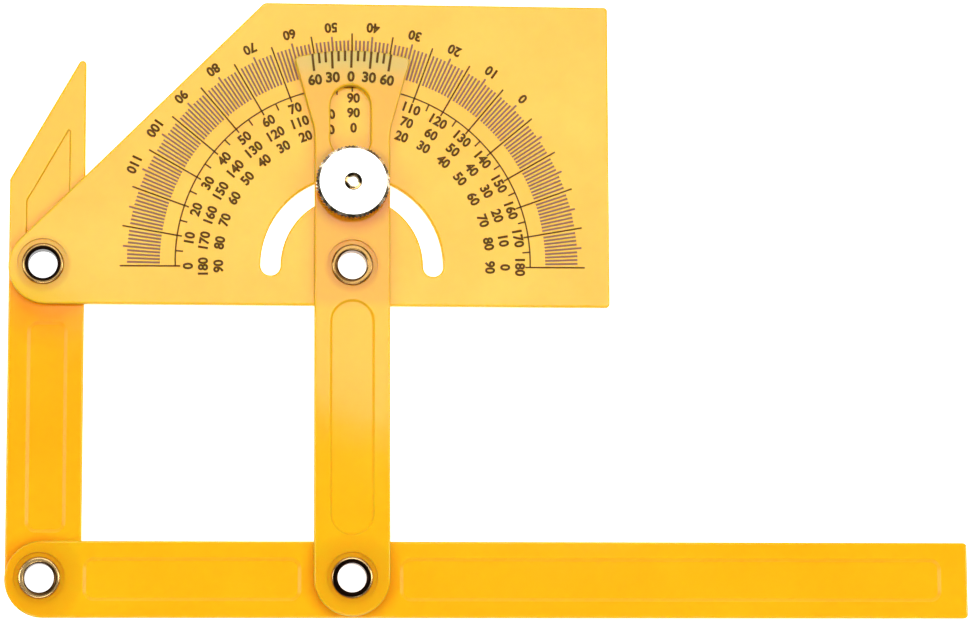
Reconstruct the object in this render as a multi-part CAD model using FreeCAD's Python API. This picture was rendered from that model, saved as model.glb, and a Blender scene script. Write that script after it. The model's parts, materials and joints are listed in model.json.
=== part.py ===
"""Articulated drafting protractor: a graduated plate and three arms, linked as a parallelogram.

All sizes are in millimetres. The origin is the centre of the degree scale, on the plate's
graduated face. +X runs along the base arm towards its square end, +Y runs from the base arm
towards the plate, and +Z points out of the graduated face.

The parts lie in three layers of moulded sheet. The left arm is lowest, the plate and the base
arm share the middle layer, and the centre arm, which carries the vernier, is on top. Hollow
eyelets are the pivots, and a square-necked screw with a thumb nut locks the centre arm.
"""
import FreeCAD, Part
import math
import os

# Driving dimensions
sheet_thickness = 2.4
layer_gap = 0.1
pivot_spacing_x = 80.0
pivot_spacing_y = 81.3
edge_round = 0.5
sheet_corner_radius = 1.0
cut_margin = 1.0

# Protractor plate
plate_right = 67.5
plate_bottom = -10.4
plate_top = 69.8
plate_top_left = -23.05
plate_shoulder_radius = 2.0
lug_centre = (-79.1, -0.6)
slot_radius = 21.2
slot_width = 5.2

# Arms: the left arm and the base arm lie a little off the lines through their pivots
arm_width = 19.7
left_arm_width = 19.5
left_arm_end = (-79.1, -81.3)
left_arm_shoulder_y = 22.5
left_arm_tip_angle = 29.5
left_arm_tip_radius = 1.0
base_arm_end = (-79.0, -81.65)
base_arm_right = 160.75

# Sunk panels, given by their rims: (left, right, bottom, top)
panel_depth = 0.45
panel_wall = 0.9
panel_corner_radius = 2.8
left_arm_panel = (-83.9, -73.5, -69.6, -14.7)
base_arm_panels = ((-68.9, -13.0, -87.25, -76.0), (12.4, 153.75, -87.25, -76.0))
centre_panel_wall = 0.6
centre_panel_width = 11.6
centre_panel_bottom = -70.6
centre_panel_top = -9.1
tip_panel_wall = 0.35
tip_panel_left = -84.6
tip_panel_right = -73.2
tip_panel_bottom = 8.0
tip_panel_left_top = 17.0
tip_panel_corner_radius = 0.5

# Vernier head and window of the centre arm
vernier_radius = 56.8
vernier_half_angle = 15.5
vernier_blend_radius = 14.0
sector_reach = 1.2 * vernier_radius
shaft_top = 0.8 * vernier_radius
window_x = -0.5
window_width = 10.6
window_bottom = 28.0
window_top = 47.5

# Hollow eyelets
eyelet_bore_radius = 3.75
eyelet_tube_radius = 4.15
eyelet_rim_radius = 5.4
eyelet_rim_height = 0.65
eyelet_rim_round = 0.55
eyelet_running_gap = 0.05
counterbore_radius = 6.6
counterbore_depth = 0.7
pivot_hole_radius = 4.2
open_pivot_hole_radius = 4.25

# Lock screw and thumb nut
screw_radius = 2.0
screw_hole_radius = 2.2
screw_neck_width = 4.8
screw_neck_height = 1.7
screw_head_gap = 0.02
screw_head_radius = 5.0
screw_head_height = 1.9
screw_head_round = 1.1
screw_end_chamfer = 0.5
screw_end_below_nut_top = 0.25
nut_seat_gap = 0.05
nut_radius = 9.65
nut_knurl_depth = 0.35
nut_knurl_teeth = 60
nut_height = 4.4
nut_collar_radius = 6.5
nut_collar_height = 0.7
nut_bevel = 0.95
nut_lower_bevel = 0.3
nut_thread_radius = 2.05
nut_countersink = 0.3

# Layers, from the back to the front: (underside, top face)
layer_pitch = sheet_thickness + layer_gap
back_layer = (-sheet_thickness - layer_pitch, -layer_pitch)
middle_layer = (-sheet_thickness, 0.0)
front_layer = (layer_gap, layer_pitch)

# Pivot axes
plate_left_pivot = (-pivot_spacing_x, 0.0)
plate_centre_pivot = (0.0, 0.0)
base_left_pivot = (-pivot_spacing_x, -pivot_spacing_y)
base_centre_pivot = (0.0, -pivot_spacing_y)

half_arm = arm_width / 2.0
half_left_arm = left_arm_width / 2.0
up = FreeCAD.Vector(0, 0, 1)


def point(x, y, z=0.0):
    return FreeCAD.Vector(x, y, z)


def cylinder(centre, radius, z_low, z_high):
    return Part.makeCylinder(radius, z_high - z_low, point(centre[0], centre[1], z_low))


def box(x_low, x_high, y_low, y_high, z_low, z_high):
    return Part.makeBox(x_high - x_low, y_high - y_low, z_high - z_low, point(x_low, y_low, z_low))


def polygon_prism(corners, z_low, z_high):
    points = [point(x, y, z_low) for x, y in corners]
    face = Part.Face(Part.makePolygon(points + points[:1]))
    return face.extrude(up * (z_high - z_low))


def round_corners(solid, corners, radius):
    """Rounds the upright edges that stand on the given (x, y) corners."""
    chosen = []
    for edge in solid.Edges:
        first, last = edge.Vertexes[0].Point, edge.Vertexes[-1].Point
        upright = abs(first.x - last.x) < 1e-6 and abs(first.y - last.y) < 1e-6
        if not upright:
            continue
        if any(math.hypot(first.x - x, first.y - y) < 1e-3 for x, y in corners):
            chosen.append(edge)
    return solid.makeFillet(radius, chosen)


def round_rims(solid, heights, radius):
    """Rounds every edge that lies flat at one of the given heights."""
    chosen = []
    for edge in solid.Edges:
        box_of_edge = edge.BoundBox
        if any(abs(box_of_edge.ZMin - z) < 1e-6 and abs(box_of_edge.ZMax - z) < 1e-6 for z in heights):
            chosen.append(edge)
    return solid.makeFillet(radius, chosen)


def stadium(start, end, width, z_low, z_high):
    """A round-ended bar between two axes, along X or along Y."""
    radius = width / 2.0
    ends = cylinder(start, radius, z_low, z_high).fuse(cylinder(end, radius, z_low, z_high))
    if abs(start[0] - end[0]) < 1e-9:
        low, high = sorted((start[1], end[1]))
        middle = box(start[0] - radius, start[0] + radius, low, high, z_low, z_high)
    else:
        low, high = sorted((start[0], end[0]))
        middle = box(low, high, start[1] - radius, start[1] + radius, z_low, z_high)
    return ends.fuse(middle).removeSplitter()


def pivot_seat(centre, hole_radius, layer, on_top):
    """The cutter for an eyelet: a hole through the sheet and a counterbore in its outer face."""
    below, above = layer[0] - cut_margin, layer[1] + cut_margin
    hole = cylinder(centre, hole_radius, below, above)
    if on_top:
        return hole.fuse(cylinder(centre, counterbore_radius, layer[1] - counterbore_depth, above))
    return hole.fuse(cylinder(centre, counterbore_radius, below, layer[0] + counterbore_depth))


def sink_panel(sheet, prism, wall):
    """Sinks a moulded panel into a sheet: the prism stands on its rim, and its walls slope in."""
    rim_z = prism.BoundBox.ZMin
    rim = [face for face in prism.Faces if face.BoundBox.ZMax < rim_z + 1e-6][0]
    floor = rim.makeOffset2D(-wall).OuterWire
    floor.translate(up * -panel_depth)
    basin = Part.makeLoft([floor, rim.OuterWire], True, True)
    return sheet.cut(basin.fuse(prism))


def panel_prism(corners, radius, layer):
    prism = polygon_prism(corners, layer[1], layer[1] + cut_margin)
    return round_corners(prism, corners, radius)


def sink_box_panel(sheet, limits, layer):
    left, right, bottom, top = limits
    corners = [(left, bottom), (right, bottom), (right, top), (left, top)]
    return sink_panel(sheet, panel_prism(corners, panel_corner_radius, layer), panel_wall)


def lug_tangent_point():
    """Where the plate's sloping edge, which starts at its top left corner, meets the lug's round end."""
    reach_x, reach_y = plate_top_left - lug_centre[0], plate_top - lug_centre[1]
    square = reach_x ** 2 + reach_y ** 2
    radius = lug_centre[1] - plate_bottom
    along = radius ** 2 / square
    across = radius * math.sqrt(square - radius ** 2) / square
    return (lug_centre[0] + along * reach_x - across * reach_y,
            lug_centre[1] + along * reach_y + across * reach_x)


def arc_slot(z_low, z_high):
    """The half-round slot that the lock screw's neck slides in."""
    inner = slot_radius - slot_width / 2.0
    outer = slot_radius + slot_width / 2.0
    ring = cylinder(plate_centre_pivot, outer, z_low, z_high)
    ring = ring.cut(cylinder(plate_centre_pivot, inner, z_low, z_high))
    slot = ring.common(box(-outer, outer, 0.0, outer, z_low, z_high))
    for side in (-1.0, 1.0):
        slot = slot.fuse(cylinder((side * slot_radius, 0.0), slot_width / 2.0, z_low, z_high))
    return slot.removeSplitter()


def protractor_plate():
    """The graduated plate, with a lug for the left pivot and the lock screw's arc slot."""
    z_low, z_high = middle_layer
    lug_radius = lug_centre[1] - plate_bottom
    outline = [
        (lug_centre[0], plate_bottom),
        (plate_right, plate_bottom),
        (plate_right, plate_top),
        (plate_top_left, plate_top),
        lug_tangent_point(),
        lug_centre,
    ]
    plate = polygon_prism(outline, z_low, z_high)
    plate = plate.fuse(cylinder(lug_centre, lug_radius, z_low, z_high)).removeSplitter()
    right_corners = [(plate_right, plate_bottom), (plate_right, plate_top)]
    plate = round_corners(plate, right_corners, sheet_corner_radius)
    plate = round_corners(plate, [(plate_top_left, plate_top)], plate_shoulder_radius)
    plate = plate.cut(arc_slot(z_low - cut_margin, z_high + cut_margin))
    plate = round_rims(plate, (z_low, z_high), edge_round)

    plate = plate.cut(pivot_seat(plate_left_pivot, pivot_hole_radius, middle_layer, on_top=True))
    return plate.cut(pivot_seat(plate_centre_pivot, pivot_hole_radius, middle_layer, on_top=False))


def left_arm():
    """The pointed arm under the plate: its tip swings past the plate's sloping edge."""
    z_low, z_high = back_layer
    x_low = left_arm_end[0] - half_left_arm
    x_high = left_arm_end[0] + half_left_arm
    rise = 1.0 / math.tan(math.radians(left_arm_tip_angle))
    tip_y = left_arm_shoulder_y + left_arm_width * rise
    outline = [
        (x_low, left_arm_end[1]),
        (x_high, left_arm_end[1]),
        (x_high, tip_y),
        (x_low, left_arm_shoulder_y),
    ]
    arm = polygon_prism(outline, z_low, z_high)
    arm = arm.fuse(cylinder(left_arm_end, half_left_arm, z_low, z_high)).removeSplitter()
    arm = round_corners(arm, [(x_high, tip_y)], left_arm_tip_radius)
    arm = round_corners(arm, [(x_low, left_arm_shoulder_y)], sheet_corner_radius)
    arm = round_rims(arm, (z_low, z_high), edge_round)

    arm = sink_box_panel(arm, left_arm_panel, back_layer)
    tip_panel_top = tip_panel_left_top + (tip_panel_right - tip_panel_left) * rise
    tip_corners = [
        (tip_panel_left, tip_panel_bottom),
        (tip_panel_right, tip_panel_bottom),
        (tip_panel_right, tip_panel_top),
        (tip_panel_left, tip_panel_left_top),
    ]
    tip_panel = panel_prism(tip_corners, tip_panel_corner_radius, back_layer)
    arm = sink_panel(arm, tip_panel, tip_panel_wall)

    arm = arm.cut(pivot_seat(plate_left_pivot, pivot_hole_radius, back_layer, on_top=False))
    return arm.cut(pivot_seat(base_left_pivot, open_pivot_hole_radius, back_layer, on_top=False))


def base_arm():
    """The long rule: round at the left pivot, square at the far end."""
    z_low, z_high = middle_layer
    y_low = base_arm_end[1] - half_arm
    y_high = base_arm_end[1] + half_arm
    arm = box(base_arm_end[0], base_arm_right, y_low, y_high, z_low, z_high)
    arm = arm.fuse(cylinder(base_arm_end, half_arm, z_low, z_high)).removeSplitter()
    arm = round_corners(arm, [(base_arm_right, y_low), (base_arm_right, y_high)], sheet_corner_radius)
    arm = round_rims(arm, (z_low, z_high), edge_round)
    for limits in base_arm_panels:
        arm = sink_box_panel(arm, limits, middle_layer)

    arm = arm.cut(pivot_seat(base_left_pivot, pivot_hole_radius, middle_layer, on_top=True))
    return arm.cut(pivot_seat(base_centre_pivot, pivot_hole_radius, middle_layer, on_top=False))


def centre_arm():
    """The top arm, from the base pivot to the vernier head beyond the lock screw."""
    z_low, z_high = front_layer
    half_angle = math.radians(vernier_half_angle)
    side_x, side_y = sector_reach * math.sin(half_angle), sector_reach * math.cos(half_angle)
    sector = polygon_prism([plate_centre_pivot, (side_x, side_y), (-side_x, side_y)], z_low, z_high)
    sector = sector.common(cylinder(plate_centre_pivot, vernier_radius, z_low, z_high))
    shaft = box(-half_arm, half_arm, base_centre_pivot[1], shaft_top, z_low, z_high)
    shaft = shaft.fuse(cylinder(base_centre_pivot, half_arm, z_low, z_high))
    arm = shaft.fuse(sector).removeSplitter()

    flare_y = half_arm / math.tan(half_angle)
    head_x = vernier_radius * math.sin(half_angle)
    head_y = vernier_radius * math.cos(half_angle)
    arm = round_corners(arm, [(-half_arm, flare_y), (half_arm, flare_y)], vernier_blend_radius)
    arm = round_corners(arm, [(-head_x, head_y), (head_x, head_y)], sheet_corner_radius)

    window_radius = window_width / 2.0
    window = stadium((window_x, window_bottom + window_radius), (window_x, window_top - window_radius),
                     window_width, z_low - cut_margin, z_high + cut_margin)
    arm = arm.cut(window)
    arm = round_rims(arm, (z_low, z_high), edge_round)

    panel_radius = centre_panel_width / 2.0
    panel = stadium((0.0, centre_panel_bottom + panel_radius), (0.0, centre_panel_top - panel_radius),
                    centre_panel_width, z_high, z_high + cut_margin)
    arm = sink_panel(arm, panel, centre_panel_wall)

    screw_hole = cylinder((0.0, slot_radius), screw_hole_radius, z_low - cut_margin, z_high + cut_margin)
    arm = arm.cut(screw_hole)
    arm = arm.cut(pivot_seat(plate_centre_pivot, pivot_hole_radius, front_layer, on_top=True))
    return arm.cut(pivot_seat(base_centre_pivot, pivot_hole_radius, front_layer, on_top=True))


def eyelet(centre, lower_layer, upper_layer, fixed_on_top):
    """A hollow rivet: a tube with a rounded rim in the counterbore at each end.

    The rim seats on the sheet that the eyelet is fixed to and clears the sheet that turns on it.
    """
    bottom = lower_layer[0]
    top = upper_layer[1]
    seat_top = top - counterbore_depth
    seat_bottom = bottom + counterbore_depth
    if fixed_on_top:
        seat_bottom -= eyelet_running_gap
    else:
        seat_top += eyelet_running_gap
    rim_top = top - counterbore_depth + eyelet_rim_height + eyelet_running_gap
    rim_bottom = bottom + counterbore_depth - eyelet_rim_height - eyelet_running_gap
    bend = eyelet_rim_round
    offset = bend * math.sqrt(0.5)
    bore, tube, rim = eyelet_bore_radius, eyelet_tube_radius, eyelet_rim_radius

    def section(radius, z):
        return point(centre[0] + radius, centre[1], z)

    def line(start, end):
        return Part.LineSegment(section(*start), section(*end)).toShape()

    def arc(start, middle, end):
        return Part.Arc(section(*start), section(*middle), section(*end)).toShape()

    edges = [
        line((bore, rim_bottom + bend), (bore, rim_top - bend)),
        arc((bore, rim_top - bend), (bore + bend - offset, rim_top - bend + offset), (bore + bend, rim_top)),
        line((bore + bend, rim_top), (rim - bend, rim_top)),
        arc((rim - bend, rim_top), (rim - bend + offset, rim_top - bend + offset), (rim, rim_top - bend)),
        line((rim, rim_top - bend), (rim, seat_top)),
        line((rim, seat_top), (tube, seat_top)),
        line((tube, seat_top), (tube, seat_bottom)),
        line((tube, seat_bottom), (rim, seat_bottom)),
        line((rim, seat_bottom), (rim, rim_bottom + bend)),
        arc((rim, rim_bottom + bend), (rim - bend + offset, rim_bottom + bend - offset),
            (rim - bend, rim_bottom)),
        line((rim - bend, rim_bottom), (bore + bend, rim_bottom)),
        arc((bore + bend, rim_bottom), (bore + bend - offset, rim_bottom + bend - offset),
            (bore, rim_bottom + bend)),
    ]
    profile = Part.Face(Part.Wire(edges))
    return profile.revolve(point(centre[0], centre[1]), up, 360)


def lock_screw():
    """The square-necked screw: its head slides under the plate, its neck in the arc slot."""
    head_top = middle_layer[0] - screw_head_gap
    head_bottom = head_top - screw_head_height
    end = front_layer[1] + nut_seat_gap + nut_height - screw_end_below_nut_top
    axis = (0.0, slot_radius)
    head = cylinder(axis, screw_head_radius, head_bottom, head_top)
    head = round_rims(head, (head_bottom,), screw_head_round)
    half_neck = screw_neck_width / 2.0
    neck = box(-half_neck, half_neck, slot_radius - half_neck, slot_radius + half_neck,
               head_top, head_top + screw_neck_height)
    shank = cylinder(axis, screw_radius, head_top, end)
    tip = [edge for edge in shank.Edges if abs(edge.BoundBox.ZMin - end) < 1e-6]
    shank = shank.makeChamfer(screw_end_chamfer, tip)
    return head.fuse(neck).fuse(shank).removeSplitter()


def thumb_nut():
    """The knurled nut: a turned collar below, straight knurling round the rim, a bevelled top."""
    z_low = front_layer[1] + nut_seat_gap
    z_high = z_low + nut_height
    disc_low = z_low + nut_collar_height
    valley = nut_radius - nut_knurl_depth
    axis = (0.0, slot_radius)

    rim = []
    for step in range(2 * nut_knurl_teeth):
        radius = nut_radius if step % 2 == 0 else valley
        angle = math.pi * step / nut_knurl_teeth
        rim.append((radius * math.cos(angle), slot_radius + radius * math.sin(angle)))
    disc = polygon_prism(rim, disc_low, z_high)

    profile = [
        (0.0, disc_low), (nut_radius - nut_lower_bevel, disc_low), (nut_radius, disc_low + nut_lower_bevel),
        (nut_radius, z_high - nut_bevel), (nut_radius - nut_bevel, z_high), (0.0, z_high),
    ]
    points = [point(radius, slot_radius, z) for radius, z in profile]
    turned = Part.Face(Part.makePolygon(points + points[:1])).revolve(point(0, slot_radius), up, 360)
    disc = disc.common(turned)

    collar = cylinder(axis, nut_collar_radius, z_low, disc_low)
    nut = disc.fuse(collar).removeSplitter()
    nut = nut.cut(cylinder(axis, nut_thread_radius, z_low - cut_margin, z_high + cut_margin))
    countersink = Part.makeCone(nut_thread_radius, nut_thread_radius + nut_countersink, nut_countersink,
                                point(0, slot_radius, z_high - nut_countersink))
    return nut.cut(countersink)


parts = {
    "protractor_plate": protractor_plate(),
    "left_arm": left_arm(),
    "base_arm": base_arm(),
    "centre_arm": centre_arm(),
    "plate_left_eyelet": eyelet(plate_left_pivot, back_layer, middle_layer, fixed_on_top=True),
    "plate_centre_eyelet": eyelet(plate_centre_pivot, middle_layer, front_layer, fixed_on_top=False),
    "base_left_eyelet": eyelet(base_left_pivot, back_layer, middle_layer, fixed_on_top=True),
    "base_centre_eyelet": eyelet(base_centre_pivot, middle_layer, front_layer, fixed_on_top=False),
    "lock_screw": lock_screw(),
    "thumb_nut": thumb_nut(),
}

os.makedirs("parts", exist_ok=True)
for name, shape in parts.items():
    shape.exportStep(os.path.join("parts", name + ".step"))
    size = shape.BoundBox
    print(f"{name}: {len(shape.Solids)} solid, valid {shape.isValid()}, volume {shape.Volume:.1f} mm3, "
          f"x {size.XMin:.2f}..{size.XMax:.2f}, y {size.YMin:.2f}..{size.YMax:.2f}, "
          f"z {size.ZMin:.2f}..{size.ZMax:.2f}")
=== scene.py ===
"""The looks of the articulated drafting protractor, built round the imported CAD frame.

Lengths are in metres and in the CAD frame: the origin is the centre of the degree scale, on the
plate's graduated face, +X runs along the base arm and +Z comes out of the graduated face.
"""

import json
import math

import bmesh
import bpy
from mathutils import Matrix, Vector


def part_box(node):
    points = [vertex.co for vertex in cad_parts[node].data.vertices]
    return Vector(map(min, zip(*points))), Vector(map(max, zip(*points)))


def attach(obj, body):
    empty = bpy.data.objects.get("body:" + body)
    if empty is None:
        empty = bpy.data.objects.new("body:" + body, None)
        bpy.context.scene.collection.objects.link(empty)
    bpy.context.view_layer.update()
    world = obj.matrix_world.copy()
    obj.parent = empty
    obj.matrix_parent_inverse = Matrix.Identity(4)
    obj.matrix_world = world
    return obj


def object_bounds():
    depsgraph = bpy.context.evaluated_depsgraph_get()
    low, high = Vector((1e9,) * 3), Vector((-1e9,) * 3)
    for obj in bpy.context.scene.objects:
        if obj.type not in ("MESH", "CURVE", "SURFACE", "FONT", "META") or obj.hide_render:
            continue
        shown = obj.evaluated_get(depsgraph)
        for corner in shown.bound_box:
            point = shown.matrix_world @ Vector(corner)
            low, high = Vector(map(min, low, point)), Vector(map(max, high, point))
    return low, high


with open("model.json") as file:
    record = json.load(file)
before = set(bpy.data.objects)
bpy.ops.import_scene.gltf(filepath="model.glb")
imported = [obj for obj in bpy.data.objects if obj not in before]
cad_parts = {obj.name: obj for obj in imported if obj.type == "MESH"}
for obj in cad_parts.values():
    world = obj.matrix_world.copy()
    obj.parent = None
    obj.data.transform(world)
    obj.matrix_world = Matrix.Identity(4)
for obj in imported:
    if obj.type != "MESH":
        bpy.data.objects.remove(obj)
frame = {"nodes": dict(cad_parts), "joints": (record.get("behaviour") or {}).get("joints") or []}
cad_low, cad_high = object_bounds()

MM = 0.001

# Places read from the frame
hinge_at = {joint["name"]: Vector(joint["pos_m"]) for joint in frame["joints"] if "pos_m" in joint}
scale_centre = hinge_at["vernier_arm_swing"]
nut_axis = hinge_at["nut_turn"]
_, plate_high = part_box("protractor_plate")
_, arm_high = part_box("centre_arm")

# Printed ink: its lower face stands a little clear of the plastic, and the numbers' outlines are
# widened by a share of their size
PRINT_THICKNESS = 0.02 * MM
PRINT_GAP = 0.002 * MM
NUMBER_BOLDNESS = 0.036

# The degree scale: its arcs have one centre and its ticks another, a little apart.
# Radii are from the arcs' centre. The outer row of numbers starts over the scale's 135 degrees.
ARC_CENTRE = Vector((0.36, 1.24, 0.0)) * MM
TICK_CENTRE = Vector((0.23, -0.20, 0.0)) * MM
PRINT_TURN = 0.0041
BASELINE_RADIUS = 46.25 * MM
DEGREE_TICK_IN = 50.2 * MM
DEGREE_TICK_OUT = 58.7 * MM
FIVE_TICK_OUT = 59.9 * MM
TEN_TICK_OUT = 60.6 * MM
FIVE_INNER_TICK = 44.3 * MM
TEN_INNER_TICK = 45.0 * MM
NUMBER_ROWS = (43.3 * MM, 39.4 * MM, 35.4 * MM)
NUMBER_SHIFT = Vector((0.3, 0.0, 0.0)) * MM
OUTER_NUMBERS = 62.3 * MM
NUMBER_HEIGHT = 2.7 * MM
NUMBER_SQUEEZE = 0.98
OUTER_ZERO = 135
ARC_STEP = 2
FINE_LINE = 0.50 * MM
ARC_LINE = 0.36 * MM
BOLD_LINE = 0.40 * MM

# The vernier scale: radii are from the pivot, and its ticks fan out from a centre below it
VERNIER_CENTRE = Vector((-2.2, -21.4, 0.0)) * MM
VERNIER_TURN = -0.025
VERNIER_TICK_OUT = 56.7 * MM
VERNIER_LONG_IN = 52.1 * MM
VERNIER_SHORT_IN = 53.9 * MM
VERNIER_LINE = 0.62 * MM
VERNIER_STEP = 1.27
VERNIER_STEPS = 6
MINUTES_A_STEP = 10
VERNIER_NUMBER_RADIUS = 49.8 * MM
VERNIER_NUMBER_HEIGHT = 2.9 * MM

# Colours blended into the plastic: painted shade on moulded edges, painted shade on the vernier
# arm where it lies over the plate, and the arm's colour over its printed scale
PLASTIC_EDGE_SHADE = (0.68, 0.45, 0.02)
OVER_PLATE_SHADE = (0.95, 0.47, 0.01)
OVER_PRINT = (0.75, 0.51, 0.09)

# Distances that a colour ramp's full length stands for
SHADE_REACH = 40.0 * MM
NUT_REACH = 10.0 * MM
EYELET_REACH = 6.0 * MM
ARM_REACH = 100.0 * MM
HEAD_REACH = 200.0 * MM

TURNED_RING_PITCH = 0.2856 * MM
FLOOR_HALF = 2.0
FLOOR_GAP = 0.02 * MM
WORLD_STRENGTH = 0.15

# The camera looks almost straight down
CAMERA_LENS = 138.36
CAMERA_PLACE = (-0.04730, -0.15101, 0.96142)
CAMERA_TURN = (0.14269, -0.08483, -0.00451)


# ---------------------------------------------------------------- printed scales

def on_circle(centre, source, radius, angle):
    """Where the ray from the source at this angle from +X crosses the circle."""
    along = Vector((math.cos(angle), math.sin(angle), 0.0))
    offset = source - centre
    b = offset.dot(along)
    return source + along * (math.sqrt(b * b - offset.length_squared + radius * radius) - b)


def degree_point(radius, degrees):
    """A point of the degree scale, which runs from 0 degrees at its left end to 180 at its right."""
    return on_circle(ARC_CENTRE, TICK_CENTRE, radius, math.pi - math.radians(degrees) + PRINT_TURN)


def vernier_point(radius, step):
    """A point of the vernier scale: steps count from its zero, clockwise."""
    angle = math.pi / 2 + VERNIER_TURN - math.radians(step * VERNIER_STEP)
    return on_circle(scale_centre, VERNIER_CENTRE, radius, angle)


def add_prism(mesh, outline, height):
    """Adds a closed flat prism of ink over the given outline, lying on a face at this height."""
    top = [mesh.verts.new((p.x, p.y, height + PRINT_THICKNESS)) for p in outline]
    bottom = [mesh.verts.new((p.x, p.y, height + PRINT_GAP)) for p in outline]
    mesh.faces.new(top)
    mesh.faces.new(bottom[::-1])
    for i in range(len(outline)):
        j = (i + 1) % len(outline)
        mesh.faces.new((top[i], bottom[i], bottom[j], top[j]))


def add_tick(mesh, start, stop, width, height):
    """Adds one printed line of the given width between two points."""
    along = (stop - start).normalized()
    across = Vector((along.y, -along.x, 0.0)) * (width / 2.0)
    add_prism(mesh, [start + across, start - across, stop - across, stop + across], height)


def add_degree_arc(mesh, radius, width, height):
    """Adds the scale's arc, as short prisms that share their ends."""
    inner, outer = radius - width / 2.0, radius + width / 2.0
    for start in range(0, 180, ARC_STEP):
        stop = start + ARC_STEP
        corners = [degree_point(inner, start), degree_point(outer, start),
                   degree_point(outer, stop), degree_point(inner, stop)]
        add_prism(mesh, corners[::-1], height)


def finish_print(mesh, name, material, body):
    """Turns a bmesh of printed ink into a named piece that rides on a body."""
    bmesh.ops.recalc_face_normals(mesh, faces=mesh.faces)
    data = bpy.data.meshes.new(name)
    mesh.to_mesh(data)
    mesh.free()
    piece = bpy.data.objects.new(name, data)
    bpy.context.scene.collection.objects.link(piece)
    data.materials.append(material)
    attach(piece, body)


def number_mesh(text, height, squeeze):
    """The flat faces of a number, centred, as a bmesh."""
    curve = bpy.data.curves.new("number", "FONT")
    curve.body = text
    curve.align_x = "CENTER"
    curve.align_y = "CENTER"
    curve.size = 1.0
    curve.resolution_u = 3
    curve.offset = NUMBER_BOLDNESS
    holder = bpy.data.objects.new("number", curve)
    bpy.context.scene.collection.objects.link(holder)
    bpy.context.view_layer.update()
    evaluated = holder.evaluated_get(bpy.context.evaluated_depsgraph_get())
    flat = bpy.data.meshes.new_from_object(evaluated)
    bpy.data.objects.remove(holder)
    bpy.data.curves.remove(curve)
    shape = bmesh.new()
    shape.from_mesh(flat)
    bpy.data.meshes.remove(flat)
    xs = [v.co.x for v in shape.verts]
    ys = [v.co.y for v in shape.verts]
    middle = Vector(((min(xs) + max(xs)) / 2, (min(ys) + max(ys)) / 2, 0.0))
    scale = height / (max(ys) - min(ys))
    for v in shape.verts:
        v.co = (v.co - middle) * scale
        v.co.x *= squeeze
    return shape


def add_number(mesh, text, place, turn, height, squeeze, face):
    """Adds one printed number: its flat faces are laid on the face and closed into thin solids."""
    shape = number_mesh(text, height, squeeze)
    spin = Matrix.Rotation(turn, 3, "Z")
    for v in shape.verts:
        v.co = spin @ v.co + place
    grown = bmesh.ops.extrude_face_region(shape, geom=list(shape.faces))
    lifted = {v for v in grown["geom"] if isinstance(v, bmesh.types.BMVert)}
    for v in shape.verts:
        v.co.z = face + (PRINT_THICKNESS if v in lifted else PRINT_GAP)
    bmesh.ops.recalc_face_normals(shape, faces=shape.faces)
    data = bpy.data.meshes.new("one")
    shape.to_mesh(data)
    shape.free()
    mesh.from_mesh(data)
    bpy.data.meshes.remove(data)


def degree_lines(ink, fine_ink):
    """Prints the degree scale's ticks and its arc."""
    bold, fine = bmesh.new(), bmesh.new()

    def tick(mesh, degree, inner, outer, width):
        add_tick(mesh, degree_point(inner, degree), degree_point(outer, degree), width,
                 plate_high.z)

    for degree in range(0, 181):
        ten, five = degree % 10 == 0, degree % 5 == 0
        if ten:
            tick(bold, degree, TEN_INNER_TICK, TEN_TICK_OUT, BOLD_LINE)
        elif five:
            tick(fine, degree, DEGREE_TICK_IN, FIVE_TICK_OUT, FINE_LINE)
            tick(bold, degree, FIVE_INNER_TICK, BASELINE_RADIUS, BOLD_LINE)
        else:
            tick(fine, degree, DEGREE_TICK_IN, DEGREE_TICK_OUT, FINE_LINE)
    add_degree_arc(bold, BASELINE_RADIUS, ARC_LINE, plate_high.z)
    finish_print(bold, "degree_scale_lines", ink, "plate")
    finish_print(fine, "degree_scale_fine_lines", fine_ink, "plate")


def degree_numbers(ink):
    """Prints three rows of numbers inside the degree scale, and one row outside it."""
    mesh = bmesh.new()

    def number(value, place, turn):
        add_number(mesh, str(value), place, math.radians(turn) + PRINT_TURN,
                   NUMBER_HEIGHT, NUMBER_SQUEEZE, plate_high.z)

    for degree in range(0, 181, 10):
        for radius, value in zip(NUMBER_ROWS, (degree, 180 - degree, abs(90 - degree))):
            number(value, degree_point(radius, degree) + NUMBER_SHIFT, 90 - degree)
    for value in range(0, 111, 10):
        degree = OUTER_ZERO - value
        number(value, degree_point(OUTER_NUMBERS, degree), 270 - degree)
    finish_print(mesh, "degree_scale_numbers", ink, "plate")


def vernier_scale(ink):
    """Prints the vernier's ticks, and a number at every third one."""
    mesh = bmesh.new()
    for step in range(-VERNIER_STEPS, VERNIER_STEPS + 1):
        inner = VERNIER_LONG_IN if step % 3 == 0 else VERNIER_SHORT_IN
        add_tick(mesh, vernier_point(inner, step), vernier_point(VERNIER_TICK_OUT, step),
                 VERNIER_LINE, arm_high.z)
    for step in range(-VERNIER_STEPS, VERNIER_STEPS + 1, 3):
        turn = VERNIER_TURN - math.radians(step * VERNIER_STEP)
        place = vernier_point(VERNIER_NUMBER_RADIUS, step)
        add_number(mesh, str(abs(step) * MINUTES_A_STEP), place, turn, VERNIER_NUMBER_HEIGHT, 1.0,
                   arm_high.z)
    finish_print(mesh, "vernier_scale_print", ink, "vernier_arm")


# ---------------------------------------------------------------- materials

def new_material(name):
    """A node material, with the parts of it that every maker below needs."""
    material = bpy.data.materials.new(name)
    material.use_nodes = True
    nodes = material.node_tree.nodes
    return material, nodes, material.node_tree.links, nodes["Principled BSDF"]


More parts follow.
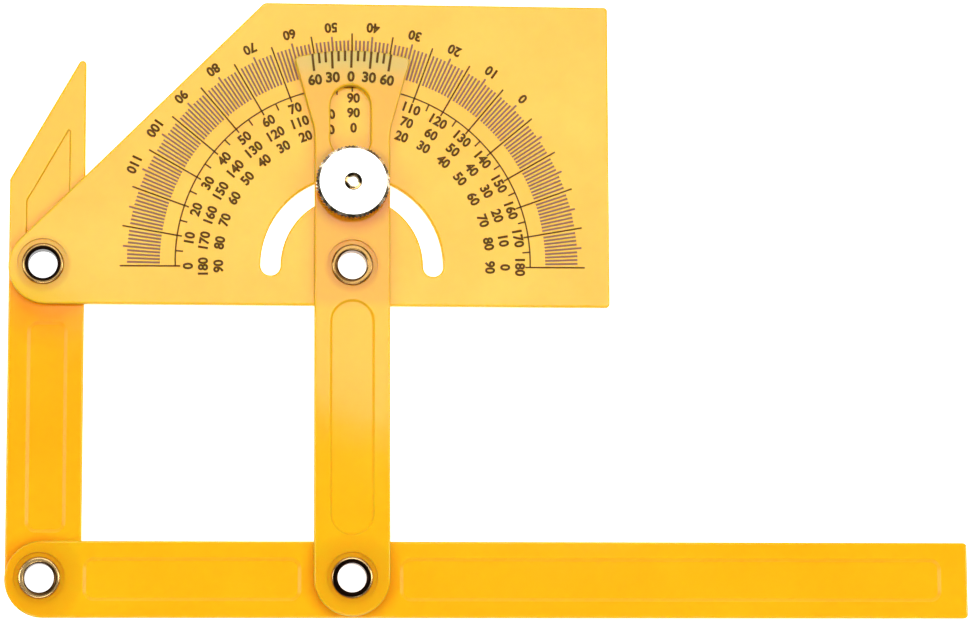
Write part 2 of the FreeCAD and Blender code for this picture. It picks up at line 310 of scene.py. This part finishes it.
def noise(nodes, links, scale, detail=3.0, stretch=(1.0, 1.0, 1.0)):
    """A noise texture fixed to the piece."""
    place = nodes.new("ShaderNodeTexCoord")
    mapping = nodes.new("ShaderNodeMapping")
    mapping.inputs["Scale"].default_value = stretch
    texture = nodes.new("ShaderNodeTexNoise")
    texture.inputs["Scale"].default_value = scale
    texture.inputs["Detail"].default_value = detail
    texture.inputs["Roughness"].default_value = 0.55
    links.new(place.outputs["Object"], mapping.inputs["Vector"])
    links.new(mapping.outputs["Vector"], texture.inputs["Vector"])
    return texture


def ramp(nodes, links, source, stops):
    """A colour ramp driven by the source. Each stop is a position from 0 to 1 and a colour."""
    node = nodes.new("ShaderNodeValToRGB")
    elements = node.color_ramp.elements
    while len(elements) < len(stops):
        elements.new(0.5)
    for element, (position, colour) in zip(elements, stops):
        element.position = position
        element.color = (*colour, 1.0)
    links.new(source, node.inputs["Fac"])
    return node


def grey(value):
    return (value, value, value)


def bump(nodes, links, bsdf, height, strength, distance):
    """Drives the shader's normal with a height."""
    node = nodes.new("ShaderNodeBump")
    node.inputs["Strength"].default_value = strength
    node.inputs["Distance"].default_value = distance
    links.new(height, node.inputs["Height"])
    links.new(node.outputs["Normal"], bsdf.inputs["Normal"])


def math_node(nodes, links, operation, *values):
    """A math node's result. Each value is a number or another node's output."""
    node = nodes.new("ShaderNodeMath")
    node.operation = operation
    for socket, value in zip(node.inputs, values):
        if isinstance(value, (int, float)):
            socket.default_value = value
        else:
            links.new(value, socket)
    return node.outputs["Value"]


def around(nodes, links, axis):
    """Object coordinates in metres, measured from an upright axis."""
    place = nodes.new("ShaderNodeTexCoord")
    centred = nodes.new("ShaderNodeVectorMath")
    centred.operation = "SUBTRACT"
    centred.inputs[1].default_value = (axis.x, axis.y, 0.0)
    links.new(place.outputs["Object"], centred.inputs[0])
    parts = nodes.new("ShaderNodeSeparateXYZ")
    links.new(centred.outputs["Vector"], parts.inputs["Vector"])
    return parts.outputs["X"], parts.outputs["Y"]


def from_axis(nodes, links, axis, lean=(0.0, 0.0)):
    """Distance from an upright axis in metres. The lean stretches it towards one side."""
    x, y = around(nodes, links, axis)
    square = math_node(nodes, links, "ADD", math_node(nodes, links, "MULTIPLY", x, x),
                       math_node(nodes, links, "MULTIPLY", y, y))
    radius = math_node(nodes, links, "SQRT", square)
    side = math_node(nodes, links, "ADD", math_node(nodes, links, "MULTIPLY", x, lean[0]),
                     math_node(nodes, links, "MULTIPLY", y, lean[1]))
    return math_node(nodes, links, "ADD", radius, side)


def blend(nodes, links, factor, first, second):
    """Mixes two colours by a factor. Each is a tuple or another node's output."""
    node = nodes.new("ShaderNodeMix")
    node.data_type = "RGBA"
    links.new(factor, node.inputs["Factor"])
    for socket, value in zip([i for i in node.inputs if i.type == "RGBA"], (first, second)):
        if isinstance(value, tuple):
            socket.default_value = (*value, 1.0)
        else:
            links.new(value, socket)
    return [o for o in node.outputs if o.type == "RGBA"][0]


def shade_round(nodes, links, colour, centre, stops, shade):
    """Blends a colour in round a point. The stops give its strength at distances in mm."""
    reach = math_node(nodes, links, "DIVIDE", from_axis(nodes, links, centre), SHADE_REACH)
    strength = ramp(nodes, links, reach,
                    [(distance * MM / SHADE_REACH, grey(value)) for distance, value in stops])
    return blend(nodes, links, strength.outputs["Color"], colour, shade)


def amber_plastic(name, deep, pale, shades=(), vernier_arm=False):
    """Translucent amber plastic: mottled moulded colour, hairline handling scratches, soft polish.

    Painted shade darkens its edges and the spots it is given; a spot may also be a paler tint.
    """
    material, nodes, links, bsdf = new_material(name)
    mottle = noise(nodes, links, 38.0, detail=4.0)
    colour = ramp(nodes, links, mottle.outputs["Fac"], [(0.3, deep), (0.7, pale)]).outputs["Color"]
    if vernier_arm:
        # Painted shade: the arm is darker and more orange where it lies over the plate. The plate's
        # printed scale shows faintly through the head. The first ramp's middle is at the scale's
        # centre.
        height = around(nodes, links, scale_centre)[1]
        level = math_node(nodes, links, "MULTIPLY_ADD", height, 1.0 / ARM_REACH, 0.5)
        over_plate_shade = ramp(nodes, links, level, [(0.38, grey(0.0)), (0.41, grey(1.0))])
        colour = blend(nodes, links, over_plate_shade.outputs["Color"], colour, OVER_PLATE_SHADE)
        upward = from_axis(nodes, links, scale_centre, (0.0, 1.0))
        over_print = ramp(nodes, links, math_node(nodes, links, "DIVIDE", upward, HEAD_REACH),
                          [(0.475, grey(0.0)), (0.535, grey(1.0))])
        colour = blend(nodes, links, over_print.outputs["Color"], colour, OVER_PRINT)
    # Painted shade, and on the pointed arm a paler tint, blended in round given points
    for centre, stops, shade in shades:
        colour = shade_round(nodes, links, colour, centre, stops, shade)
    # The moulded edges, walls and sides are rougher and less glossy than the flat faces, and their
    # colour is blended to a darker olive as painted shade
    facing = nodes.new("ShaderNodeNewGeometry")
    tilt = nodes.new("ShaderNodeSeparateXYZ")
    links.new(facing.outputs["True Normal"], tilt.inputs["Vector"])
    flatness = math_node(nodes, links, "ABSOLUTE", tilt.outputs["Z"])
    side = ramp(nodes, links, flatness, [(0.5, grey(1.0)), (0.95, grey(0.0))])
    colour = blend(nodes, links, side.outputs["Color"], colour, PLASTIC_EDGE_SHADE)
    links.new(colour, bsdf.inputs["Base Color"])
    wear = noise(nodes, links, 900.0, detail=2.0, stretch=(1.0, 0.15, 1.0))
    polish = ramp(nodes, links, wear.outputs["Fac"], [(0.3, grey(0.06)), (0.75, grey(0.10))])
    matt = ramp(nodes, links, flatness, [(0.9, grey(1.0)), (0.985, grey(0.0))])
    links.new(blend(nodes, links, matt.outputs["Color"], polish.outputs["Color"], grey(0.30)),
              bsdf.inputs["Roughness"])
    gloss = ramp(nodes, links, flatness,
                 [(0.87, grey(0.13)), (0.895, grey(0.26)), (0.985, grey(0.5))])
    links.new(gloss.outputs["Color"], bsdf.inputs["Specular IOR Level"])
    bsdf.inputs["IOR"].default_value = 1.49
    bsdf.inputs["Subsurface Weight"].default_value = 0.75
    bsdf.inputs["Subsurface Radius"].default_value = (1.0, 0.4, 0.1)
    bsdf.inputs["Subsurface Scale"].default_value = 2.0 * MM
    sink = noise(nodes, links, 140.0, detail=2.0)
    bump(nodes, links, bsdf, sink.outputs["Fac"], 0.06, 0.2 * MM)
    return material


def scale_ink(name, deep, other_tone):
    """Brown-black screen-printed ink, a little uneven."""
    material, nodes, links, bsdf = new_material(name)
    uneven = noise(nodes, links, 2500.0, detail=2.0)
    colour = ramp(nodes, links, uneven.outputs["Fac"], [(0.25, deep), (0.8, other_tone)])
    links.new(colour.outputs["Color"], bsdf.inputs["Base Color"])
    bsdf.inputs["Roughness"].default_value = 0.45
    bsdf.inputs["Specular IOR Level"].default_value = 0.12
    return material


def bright_nickel():
    """Nickel plate: fine turned rings on the nut's face. Painted shade darkens a ring round the
    screw's end, the bevel and the knurl, speckled with painted glints.
    """
    material, nodes, links, bsdf = new_material("bright_nickel")
    reach = from_axis(nodes, links, nut_axis)
    phase = math_node(nodes, links, "MULTIPLY", reach, math.tau / TURNED_RING_PITCH)
    rings = math_node(nodes, links, "SINE", phase)
    bump(nodes, links, bsdf, rings, 0.1, 0.01 * MM)
    tarnish = noise(nodes, links, 350.0)
    face = ramp(nodes, links, tarnish.outputs["Fac"],
                [(0.3, (0.86, 0.86, 0.80)), (0.7, (0.96, 0.96, 0.93))])
    # Painted shade and glints: a ring round the screw's end, and the bevel and knurl beyond the face,
    # take dark patches with gold glints
    rim = ramp(nodes, links, math_node(nodes, links, "DIVIDE", reach, NUT_REACH),
               [(0.105, grey(0.0)), (0.12, grey(1.0)), (0.215, grey(1.0)), (0.235, grey(0.0)),
                (0.868, grey(0.0)), (0.875, grey(1.0))])
    other_tone = ramp(nodes, links, noise(nodes, links, 420.0).outputs["Fac"],
                [(0.47, (0.16, 0.13, 0.08)), (0.56, (0.95, 0.80, 0.58))])
    colour = blend(nodes, links, rim.outputs["Color"], face.outputs["Color"], other_tone.outputs["Color"])
    links.new(colour, bsdf.inputs["Base Color"])
    bsdf.inputs["Metallic"].default_value = 1.0
    bsdf.inputs["Roughness"].default_value = 0.16
    return material


def eyelet_metal(name, axis, dark_radius, dark, bright, lean=(0.0, 0.0)):
    """Nickel-washed brass: the bore and inner rim are painted dark as shade, out to a radius that
    leans to one side, and the outer rim is brighter.
    """
    material, nodes, links, bsdf = new_material(name)
    reach = from_axis(nodes, links, axis, lean)
    edge = dark_radius / EYELET_REACH
    zone = ramp(nodes, links, math_node(nodes, links, "DIVIDE", reach, EYELET_REACH),
                [(edge - 0.02, grey(0.0)), (edge + 0.02, grey(1.0))])
    tarnish = noise(nodes, links, 500.0)
    rim = ramp(nodes, links, tarnish.outputs["Fac"],
               [(0.3, tuple(0.75 * c for c in bright)), (0.75, bright)])
    colour = blend(nodes, links, zone.outputs["Color"], dark, rim.outputs["Color"])
    links.new(colour, bsdf.inputs["Base Color"])
    bsdf.inputs["Metallic"].default_value = 1.0
    bsdf.inputs["Roughness"].default_value = 0.24
    return material


def floor_paper():
    """White paper on a light table: it glows a little, so it stays white under the sheets' edges."""
    material, nodes, links, bsdf = new_material("white_paper")
    fibre = noise(nodes, links, 300.0, detail=4.0)
    colour = ramp(nodes, links, fibre.outputs["Fac"], [(0.3, grey(0.94)), (0.7, grey(0.97))])
    links.new(colour.outputs["Color"], bsdf.inputs["Base Color"])
    bsdf.inputs["Roughness"].default_value = 0.8
    bsdf.inputs["Emission Color"].default_value = (1.0, 1.0, 1.0, 1.0)
    bsdf.inputs["Emission Strength"].default_value = 0.9
    return material


def paint(names, material):
    """Gives CAD nodes a material in place of the one from the pack."""
    for name in names:
        for slot in frame["nodes"][name].material_slots:
            slot.material = material


# ---------------------------------------------------------------- stage

def make_floor(material):
    """A flat sheet just under the lowest piece."""
    mesh = bmesh.new()
    corners = [mesh.verts.new((x * FLOOR_HALF, y * FLOOR_HALF, cad_low.z - FLOOR_GAP))
               for x, y in ((-1, -1), (1, -1), (1, 1), (-1, 1))]
    mesh.faces.new(corners)
    data = bpy.data.meshes.new("floor")
    mesh.to_mesh(data)
    mesh.free()
    floor = bpy.data.objects.new("floor", data)
    bpy.context.scene.collection.objects.link(floor)
    data.materials.append(material)


def area_light(name, place, target, width, depth, radiance, turn=0.0):
    """A rectangular softbox that faces the target, turned about its own axis.

    Radiance is its brightness in W/m2/sr.
    """
    data = bpy.data.lights.new(name, "AREA")
    data.shape = "RECTANGLE"
    data.size = width
    data.size_y = depth
    data.energy = radiance * math.pi * width * depth
    light = bpy.data.objects.new(name, data)
    light.location = place
    aim = (Vector(target) - Vector(place)).to_track_quat("-Z", "Y").to_matrix()
    light.rotation_euler = (aim @ Matrix.Rotation(turn, 3, "Z")).to_euler()
    bpy.context.scene.collection.objects.link(light)


def make_light():
    """A softbox whose reflection lies on the plate and the nut, four panels and a dim white world."""
    area_light("overhead_softbox", (0.0538, 0.3428, 1.0), (0.0538, 0.3428, 0.0), 0.5, 0.5, 2.75,
               turn=math.radians(-22.0))
    middle = (0.0, 0.0, 0.0)
    area_light("left_panel", (-0.95, 0.1, 1.0), middle, 0.4, 0.8, 6.3)
    area_light("right_panel", (0.97, 0.1, 1.0), middle, 0.4, 0.8, 6.3)
    area_light("back_panel", (0.0, 1.2, 1.0), middle, 1.4, 0.7, 1.3)
    area_light("front_panel", (0.0, -0.65, 1.0), middle, 0.8, 0.4, 4.0)
    world = bpy.data.worlds.new("studio")
    world.use_nodes = True
    background = world.node_tree.nodes["Background"]
    background.inputs["Color"].default_value = (1.0, 1.0, 1.0, 1.0)
    background.inputs["Strength"].default_value = WORLD_STRENGTH
    bpy.context.scene.world = world


def make_camera():
    """The camera of the main view."""
    data = bpy.data.cameras.new("camera")
    data.sensor_width = 36.0
    data.lens = CAMERA_LENS
    camera = bpy.data.objects.new("camera", data)
    camera.location = CAMERA_PLACE
    camera.rotation_euler = CAMERA_TURN
    bpy.context.scene.collection.objects.link(camera)
    bpy.context.scene.camera = camera


# ---------------------------------------------------------------- the instrument

plate_left = hinge_at["pointed_arm_swing"]
base_centre = hinge_at["rule_pivot"]
base_left = Vector((plate_left.x, base_centre.y, 0.0))


def paint_plastic():
    """The sheets. Painted shade deepens their colour round the eyelets, under the nut and under other
    sheets, and the pointed arm is painted paler towards its tip.
    """
    # Painted shade round the eyelets: its strength at distances in mm, and the colour it blends in
    ring = ((5.0, 0.9), (6.0, 0.75), (6.9, 0.5), (7.6, 0.0))
    wide_ring = ((5.0, 0.9), (6.9, 0.55), (8.0, 0.42), (10.5, 0.22), (12.0, 0.0))
    shade = (0.88, 0.34, 0.003)

    # The pointed arm is painted paler towards its tip, with painted shadow below the plate's lug and
    # painted shade round its lower eyelet, under the base arm
    tip = plate_left + Vector((1.0, 36.0, 0.0)) * MM
    lug_shadow_centre = plate_left + Vector((1.5, -6.0, 0.0)) * MM
    paint(("left_arm",), amber_plastic("amber_left_arm", (0.93, 0.49, 0.002), (0.97, 0.53, 0.004), (
        (tip, ((0.0, 1.0), (20.0, 1.0), (34.0, 0.0)), (0.94, 0.55, 0.004)),
        (lug_shadow_centre, ((0.0, 1.0), (7.5, 1.0), (10.5, 0.5), (16.0, 0.0)), (0.95, 0.37, 0.0003)),
        (base_left, ((0.0, 0.6), (10.0, 0.6), (12.5, 0.0)), (0.90, 0.36, 0.001)))))

    paint(("base_arm",), amber_plastic("amber_base_arm", (0.93, 0.52, 0.002), (0.97, 0.56, 0.004), (
        (base_left, wide_ring, (0.86, 0.33, 0.002)),
        (base_centre, ((0.0, 1.0), (10.0, 0.8), (13.5, 0.0)), (0.93, 0.40, 0.002)))))

    plate_amber = amber_plastic("amber_plate", (0.92, 0.54, 0.014), (0.97, 0.61, 0.034), (
        (plate_left, ring, (0.90, 0.42, 0.01)),))
    paint(("protractor_plate",), plate_amber)

    # Painted shadow of the nut on the vernier arm, a little south of its axis
    nut_shadow_centre = nut_axis + Vector((0.3, -2.2, 0.0)) * MM
    vernier_amber = amber_plastic("amber_vernier_arm", (0.93, 0.53, 0.003), (0.97, 0.57, 0.005), (
        (scale_centre, ring, shade),
        (base_centre, wide_ring, shade),
        (nut_shadow_centre, ((0.0, 1.0), (8.6, 1.0), (9.8, 0.5), (11.5, 0.0)), (0.92, 0.33, 0.004))),
        vernier_arm=True)
    paint(("centre_arm",), vernier_amber)


def paint_metal():
    """The clamp, and four eyelets whose bores are painted dark as shade up to a radius in mm."""
    paint(("lock_screw", "thumb_nut"), bright_nickel())
    black, brown, gold = (0.010, 0.004, 0.002), (0.10, 0.045, 0.012), (0.9, 0.6, 0.25)
    # Each eyelet has its own dark radius, lean and outer-rim colour, as painted light and shade
    for node, axis, dark_radius, dark, bright, lean in (
            ("plate_left_eyelet", plate_left, 4.7, black, (0.62, 0.38, 0.13), (0.0, 0.0)),
            ("plate_centre_eyelet", scale_centre, 4.25, brown, (0.50, 0.29, 0.09), (0.08, 0.06)),
            ("base_left_eyelet", base_left, 4.35, brown, gold, (-0.06, 0.04)),
            ("base_centre_eyelet", base_centre, 4.95, black, gold, (0.03, 0.03))):
        paint((node,), eyelet_metal(node + "_metal", axis, dark_radius * MM, dark, bright, lean))


def print_scales():
    """The printed lines and numbers. The fine lines look paler, as thin ink does."""
    ink = scale_ink("scale_ink", (0.11, 0.05, 0.006), (0.17, 0.08, 0.010))
    fine_ink = scale_ink("scale_ink_fine", (0.29, 0.14, 0.075), (0.37, 0.19, 0.11))
    degree_lines(ink, fine_ink)
    degree_numbers(ink)
    vernier_scale(ink)


def main():
    paint_plastic()
    paint_metal()
    print_scales()
    make_floor(floor_paper())
    make_light()
    make_camera()
    bpy.context.scene.view_settings.view_transform = "Standard"


main()
